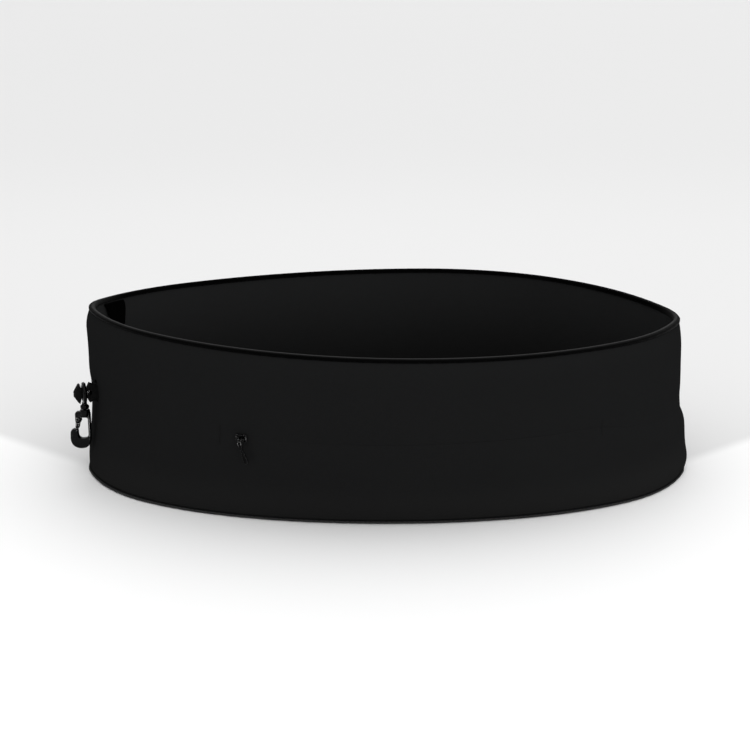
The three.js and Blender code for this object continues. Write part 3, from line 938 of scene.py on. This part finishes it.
def combine(body, added, cut=()):
    """Adds closed solids to a closed solid, then cuts others out of it."""
    main = new_object("tool", mesh_of(body, "tool"))
    tools = []
    for bm, operation in [(bm, "UNION") for bm in added] + [(bm, "DIFFERENCE") for bm in cut]:
        tools.append(new_object("tool", mesh_of(bm, "tool")))
        modifier = main.modifiers.new("combine", "BOOLEAN")
        modifier.object = tools[-1]
        modifier.operation = operation
        modifier.solver = "EXACT"
    return baked(main, *tools)


def keep(bm, name, material, body, node=None, matrix=Matrix.Identity(4)):
    """Turns a millimetre bmesh into a piece, with matrix placing it in the row frame."""
    mesh = mesh_of(bm, name)
    mesh.transform(Matrix.Scale(MM, 4) @ matrix)
    attach(link_mesh(name, mesh, material), body, node)


# ---- trims on the wall
UP = np.array((0.0, 0.0, 1.0))
EDGE_STITCH = (1.7, 0.17, 0.13)  # length, half width and how proud it stands
SEAM_STITCH = (1.6, 0.16, 0.12)
TACK_STITCH = (1.7, 0.26, 0.12)
TETHER_STITCH = (0.85, 0.15, 0.1)


def capsules(centres, along, up, stitch):
    """Small rounded stitches: each lies along one direction and stands up from its seat."""
    length, width, depth = stitch
    bm = bmesh.new()
    shape = np.shape(centres)
    for centre, a, u in zip(centres, np.broadcast_to(along, shape), np.broadcast_to(up, shape)):
        side = np.cross(a, u)
        rows = []
        for t, r in ((-0.5, 0.25), (-0.36, 0.85), (0.0, 1.0), (0.36, 0.85), (0.5, 0.25)):
            spine = centre + a * (t * length) - u * (depth * abs(t) * 1.6)
            rows.append([spine + r * (cos(w) * side * width + sin(w) * u * depth) for w in turns(6)])
        grid_surface(rows, bm=bm)
    return bm


def stitch_row(name, reach, z):
    """A line of stitches once round the soft wall."""
    headings = even_headings(*ROUND, 2.6)[:-1]
    centres = wall(headings, reach, z) / MM
    ahead = unit_rows(wall(headings + 0.05, reach, z) / MM - centres)
    facing = np.cross(ahead, UP)
    facing *= np.sign((facing[:, :2] * outward(headings)).sum(1))[:, None]
    if reach < 0:
        facing = -facing
    keep(capsules(centres, ahead, facing, EDGE_STITCH), name, THREAD, "belt")


def place_trims():
    for side, label in ((1, "top"), (-1, "bottom")):
        height = HEIGHT if side > 0 else 0.0
        rows = (("outside", RIM_REACH + 0.62, OUTER_SKIRT), ("inside", -0.6, INNER_SKIRT))
        for place, reach, skirt in rows:
            stitch_row(f"{label}_{place}_stitches", reach, height - side * (skirt - 0.4))
    tape = band("seam_cover_strip", JOINING_SEAM - 1.3, JOINING_SEAM + 1.3, -0.75, -0.3, -37, 37, SEAM_TAPE)
    attach(tape, "belt", "joining_seam_tape")
    for side, word in ((-1, "left"), (1, "right")):
        place = JOINING_SEAM + side * 1.05
        path_z = np.arange(MIDDLE - 35.5, MIDDLE + 35.5, 2.4)
        centres = wall(np.full(path_z.shape, place), -0.8, path_z) / MM
        row = capsules(centres, UP, -np.append(outward(place), 0.0), SEAM_STITCH)
        keep(row, f"seam_tape_stitches_{word}", THREAD, "belt")


def place_label():
    """Satin label sewn in under the top binding: its loose edges are folded back towards a point."""
    low, high = box_mm("care_label")
    share = np.linspace(0, 1, 36)[None, :]
    across = np.linspace(-1, 1, 15)[:, None]
    headings = LABEL_HEADING + LABEL_HALF * across[:, 0]
    heading = LABEL_HEADING + LABEL_HALF * across * (1 - LABEL_TAPER * share)
    heading = heading - LABEL_DRIFT * (1 - np.exp(-share / 0.08))
    z = high.z + 1.2 + (low.z - high.z) * share * (0.94 - 0.06 * across)
    curl = 0.35 + 0.9 * share**2 + 0.5 * share * (1 + across)
    reach = np.concatenate([-curl, -0.4 - curl[:, ::-1]], 1)
    heading = np.concatenate([heading, heading[:, ::-1]], 1)
    height = np.concatenate([z, z[:, ::-1]], 1)
    label = swept("blank_care_label", headings, reach, height, LABEL, heading=heading)
    attach(label, "belt", "care_label")


def place_bar_tacks():
    rise = np.linspace(-4.4, 4.4, 21)
    lean = np.where(np.arange(rise.size) % 2 == 0, 0.22, -0.22)[:, None]
    for word, heading in BAR_TACKS.items():
        heads = np.full(rise.shape, heading)
        reach = np.where(rise > 0, bulge_at(heads, rise, 1), bulge_at(heads, rise, -1))
        reach = reach - pinch(heads) * hump(rise, PINCH_HEIGHT) - tack_dent(0.0, rise)
        centres = wall(heads, reach + 0.03, MIDDLE + rise) / MM
        ahead = np.append(outward(heading + 90), 0.0)
        along = ahead * np.cos(lean) + UP * np.sin(lean)
        tack = capsules(centres, along, np.append(outward(heading), 0.0), TACK_STITCH)
        keep(tack, f"bar_tack_thread_{word}", PANEL_THREAD, "belt", f"bar_tack_{word}")


place_trims()
place_label()
place_bar_tacks()


# ---- zip
COIL_PITCH = 1.26
COIL_POINTS = 12  # along each turn of the coil


def place_zip():
    for side, word in ((1, "upper"), (-1, "lower")):
        low, high = sorted((side * 0.9, side * 11.5))
        tape = band(f"zip_{word}_tape_weave", ZIP_START, ZIP_END, 3.35, 3.75, low, high, TAPE)
        attach(tape, "belt", f"zip_{word}_tape")
        headings = even_headings(ZIP_START + 1.2, ZIP_END - 1.2, COIL_PITCH / COIL_POINTS)
        turn = np.arange(len(headings)) * (2 * pi / COIL_POINTS)
        reach = 2.85 + 0.32 * np.cos(turn)
        rise = side * (1.62 - 0.72 * np.sin(turn))
        coil = tube(wall(headings, reach, MIDDLE + rise) / MM, 0.16, 6)
        keep(coil, f"zip_{word}_coil_teeth", COIL, "belt", f"zip_{word}_coil")
    for word, heading in (("left", ZIP_START + 0.75), ("right", ZIP_END - 0.75)):
        clip = soft_block((-1.2, -3.8, -2.4), (1.2, -2.7, 2.4), 0.35)
        at = station(heading, 0, MIDDLE)
        keep(clip, f"zip_{word}_stop_clip", GUNMETAL, "belt", f"zip_{word}_stop", at)


place_zip()

CROWN_REACH = 6.7  # the slider's front plate
ARCH_REACH = 9.15  # the top of its bail
RING_RADIUS = 1.5
RING_WIRE = 0.35
RING_DROP = 0.75  # how far the ring's middle hangs below the bail
PULL_TILT = 20.0  # degrees that the pull leans


def place_slider():
    at = station(SLIDER_HEADING, 0, MIDDLE)
    crown_outline = pen([
        (-3, -1.2), (-3, -2, -2.2, -2.1), (-0.6, -1.5, 0.6, -1.5, 2.2, -2.1), (3, -2, 3, -1.2),
        (3, 1.2), (3, 2, 2.2, 2.1), (0.6, 1.5, -0.6, 1.5, -2.2, 2.1), (-3, 2, -3, 1.2),
    ])
    body = plate([crown_outline], 0.9, 0.3, CROWN_REACH)
    leg = [(1.9, CROWN_REACH), (2.3, 7.4), (2.35, 8.3), (1.9, 8.9), (1.0, 9.12)]
    bail = [(-x, reach) for x, reach in leg] + [(0, ARCH_REACH)] + leg[::-1]
    parts = [
        soft_block((-1.6, -CROWN_REACH, -0.4), (1.6, -2.3, 0.4), 0.15),
        soft_block((-4, -2.45, -3.4), (4, -1.75, 3.4), 0.25),
        soft_block((-4, -3.95, 2.9), (4, -2.3, 3.4), 0.15),
        soft_block((-4, -3.95, -3.4), (4, -2.3, -2.9), 0.15),
        tube([(x, -reach, 0) for x, reach in bail], 0.38, 12),
    ]
    keep(combine(body, parts), "zip_slider", ENAMEL, "slider", "slider_body", at)

    pivot = at @ Matrix.Translation((0, -ARCH_REACH, 0))
    upright = Matrix.Translation((0, 0, -RING_DROP)) @ turned(90, "Y")
    ring = torus(RING_RADIUS, RING_WIRE, upright, 40, 12)
    keep(ring, "pull_link_ring", ENAMEL, "pull_link", "pull_ring", pivot)

    hang = pivot @ Matrix.Translation((0, 0, -RING_DROP - RING_RADIUS)) @ turned(-PULL_TILT, "Y")
    length, eye, foot = 9.8, 1.15, 1.3
    rim = [(eye * cos(t), eye * sin(t)) for t in np.linspace(0, pi, 14)]
    rim += pen([(-eye, 0), (-0.7, -2.4, -0.75, -4.2), (-foot, -length + 2.4, -foot, -length)])[1:]
    turn = np.linspace(pi, 2 * pi, 16)
    rim += [(foot * cos(t), -length + foot * sin(t)) for t in turn][1:]
    rim += pen([(foot, -length), (foot, -length + 2.4, 0.75, -4.2), (0.7, -2.4, eye, 0)])[1:-1]
    tab = plate([rim, circle(0, 0, 0.7)], 1.0, 0.3)
    keep(tab, "drop_pull", ENAMEL, "pull", "pull_tab", hang)


place_slider()


# ---- key tether and hook
EYE_REACH = 11.0  # the middle of the eye ring
EYE_RADIUS = 4.9
EYE_WIRE = 1.1
EYE_TURN = -10.0  # degrees from square to the ribbon
FOLD_REACH = EYE_REACH + 5.8  # the ribbon's outer fold
RIBBON_LAYER = 0.8


def ribbon_half(reach):
    """Half height of the ribbon: gathered where it goes through the eye, pointed at its outer fold."""
    at = [0, 6.0, EYE_REACH - 2.9, EYE_REACH - 1.8, EYE_REACH + 1.8, EYE_REACH + 2.6, FOLD_REACH + 0.2]
    half = [5.4, 4.6, 5.8, 2.8, 2.8, 6.2, 0.6]
    fine = np.linspace(0, FOLD_REACH + 0.4, 240)
    line = np.interp(fine, at, half)
    kernel = np.exp(-np.linspace(-2, 2, 9) ** 2)
    smooth = np.convolve(np.pad(line, 4, "edge"), kernel / kernel.sum(), "valid")
    return np.interp(reach, fine, smooth)


def ribbon_line():
    """Centreline of the doubled ribbon in plan (X along the wall, reach), from one sewn foot to the other."""
    turn_reach = FOLD_REACH - RIBBON_LAYER * 1.5
    foot, apart = 2.1, 0.82  # reach of the sewn feet, and each layer's distance from the middle
    points = [(-5.3, foot), (-3.0, foot), (-1.5, foot + 0.1), (-0.95, foot + 0.7)]
    climb = np.arange(foot + 1.6, turn_reach, 0.7)
    points += [(-apart, r) for r in climb]
    points += [(apart * cos(t), turn_reach + apart * sin(t)) for t in np.linspace(pi, 0, 13)]
    points += [(apart, r) for r in climb[::-1]]
    points += [(0.95, foot + 0.7), (1.5, foot + 0.1), (3.0, foot), (5.3, foot)]
    return np.array(points)


def place_tether():
    at = station(TETHER_HEADING, 0, MIDDLE + TETHER_RISE)
    line = ribbon_line()
    ahead = unit_rows(np.gradient(line, axis=0))
    side = np.stack([-ahead[:, 1], ahead[:, 0]], -1)
    half = ribbon_half(line[:, 1])
    columns = np.linspace(-1, 1, 15)
    rows = []
    for k, point in enumerate(line):
        gather = 1 - half[k] / 6.0
        row = []
        for face in (1, -1):
            for c in columns[::face]:
                pleat = 0.14 * gather * cos(c * 3 * pi)
                edge = 0.37 * (1 - 0.35 * abs(c) ** 8)
                x, reach = point + side[k] * (face * edge + pleat)
                row.append((x, -reach, c * half[k]))
        rows.append(row)
    bm = grid_surface(rows)
    layer = bm.loops.layers.uv.new("wall")
    for face in bm.faces:
        for loop in face.loops:
            x, y, z = loop.vert.co
            loop[layer].uv = ((-y + (0 if x < 0 else 40)) * MM, z * MM)
    keep(bm, "grosgrain_tether", RIBBON, "belt", "key_tether", at)

    seat, cap = RIBBON_LAYER * 1.5 + 0.12, 1.35
    rows = [(0.05, -seat - 0.62), (0.5, -seat - 0.58), (0.95, -seat - 0.4), (cap, -seat - 0.12), (cap, -seat)]
    rows += [(0.5, -seat), (0.5, seat)]
    rows += [(r, -z) for r, z in rows[:5][::-1]]
    rivet = lathe(rows, 36, Matrix.Translation((0, -8.2, 0)) @ turned(90, "Y"))
    keep(rivet, "tether_rivet_domes", GUNMETAL, "belt", "tether_rivet", at)

    places = [(x, z) for z in (-4.6, 4.6) for x in np.arange(5.6, 7.8, 1.05)]
    centres = np.array([(sign * 1.21, -reach, z) for sign in (-1, 1) for reach, z in places])
    facing = np.sign(centres) * (1, 0, 0)
    rows = capsules(centres, np.array((0.0, 1.0, 0.0)), facing, TETHER_STITCH)
    keep(rows, "tether_stitches", THREAD, "belt", matrix=at)


HOOK_THICKNESS = 3.6
GATE_PIVOT = (-3.8, -14.5)


def place_hook():
    at = station(TETHER_HEADING, EYE_REACH, MIDDLE + TETHER_RISE)
    eye = torus(EYE_RADIUS, EYE_WIRE, turned(90, "X"), 72, 18)
    stem_rows = [
        (0.3, -12), (1.6, -12), (1.8, -11.8), (1.8, -11.2), (1.6, -11), (1, -11), (1, -8.8), (2.1, -8.8),
        (2.4, -8.5), (2.4, -7.4), (2.2, -7), (1.6, -6.5), (1.4, -6.2), (1.4, -5.3), (0.3, -5.3),
    ]
    eye = combine(eye, [lathe(stem_rows, 36)])
    keep(eye, "swivel_eye_ring", GUNMETAL, "eye", "swivel_eye", at @ turned(EYE_TURN, "Z"))

    square = at @ turned(-TETHER_HEADING, "Z")
    px, pz = GATE_PIVOT
    collar_rows = [(0.3, -13.3), (2.6, -13.3), (2.8, -13), (2.8, -10), (2.6, -9.5), (2.1, -9.2), (0.3, -9.2)]
    socket_rows = [(0.02, -12.3), (2.2, -12.3), (2.2, -10.6), (1.4, -10.6), (1.4, -9), (0.02, -9)]
    bore = Matrix.Translation((px, 0, pz)) @ turned(90, "X")
    outline = pen([
        (-5.4, -12.0), (-5.3, -10.4, -3.6, -10.4), (1.1, -10.4), (2.9, -10.4, 2.9, -12.2), (2.9, -25),
        (2.9, -29.4, 0.8, -31.4, -2.6, -31.4), (-6, -31.4, -8.5, -29.4, -8.5, -25.4), (-8.3, -22.4),
        (-8, -20.3, -6.2, -20.3), (-4.8, -20.3), (-4.1, -20.3, -4.1, -21.1),
        (-4, -23.6), (-3.8, -25.2, -2.8, -25.6, -1.4, -25.6), (0.4, -25.6, 1.5, -24.8, 1.5, -22.8),
        (1.5, -14.8), (1.5, -13.8, 0.5, -13.8), (-1.0, -13.8), (-2, -13.8, -2, -14.8), (-2, -16.2),
        (-5.4, -16.2),
    ])
    body = combine(plate([outline], HOOK_THICKNESS, 0.75), [lathe(collar_rows, 40)], [
        lathe(socket_rows, 32),
        block((-5.9, -1.2, -16.7), (-1.9, 1.2, pz + 1.8)),
        lathe([(0.85, -3), (0.85, 3)], 28, bore),
    ])
    keep(body, "swivel_hook", GUNMETAL, "hook", "hook_body", square)

    head = [(px + 1.5 * cos(t), pz + 1.5 * sin(t)) for t in np.linspace(0, pi, 14)]
    head += [(-5.3, -17.5), (-3.1, -17.5), (-2.5, -15.4)]
    blade = pen([
        (-5.4, -16.9), (-5.5, -19.1), (-5.4, -19.9, -4.4, -19.9), (-3.3, -19.9, -3.2, -19.0), (-2.9, -16.9),
        (-3.2, -16.7, -3.6, -16.7), (-4.8, -16.7), (-5.3, -16.7, -5.4, -16.9),
    ])[:-1]
    tongue = plate([head, circle(px, pz, 0.85)], 1.2, 0.25, 0.25)
    gate = combine(tongue, [plate([blade], 2.8, 0.55)])
    keep(gate, "spring_gate", GUNMETAL, "gate", "hook_gate", square)

    rows = [(0.1, -2.45), (0.7, -2.42), (0.92, -2.3), (0.95, -2.1), (0.55, -2.1), (0.55, 2.1), (0.95, 2.1)]
    rows += [(0.92, 2.3), (0.7, 2.42), (0.1, 2.45)]
    keep(lathe(rows, 28, bore), "gate_pin_rivet", GUNMETAL, "hook", "gate_pin", square)

    turn = np.linspace(0, 2.6 * 2 * pi, 96)
    path = [bore @ Vector((1.02 * cos(t), 1.02 * sin(t), -0.98 + 0.3 * t / turn[-1])) for t in turn]
    keep(tube(path, 0.07, 8), "gate_torsion_spring", STEEL, "hook", "gate_spring", square)


place_tether()
place_hook()


# ---- girth of the cloth loop
def declare_cloth():
    """The panels are flat strips of knit, cut to length and sewn into loops that the wall holds stretched.
    Only the loop's girth is worked out here, and nothing uses it.
    """
    girth = run_of(np.linspace(0, 360, 721))[-1] * MM


declare_cloth()
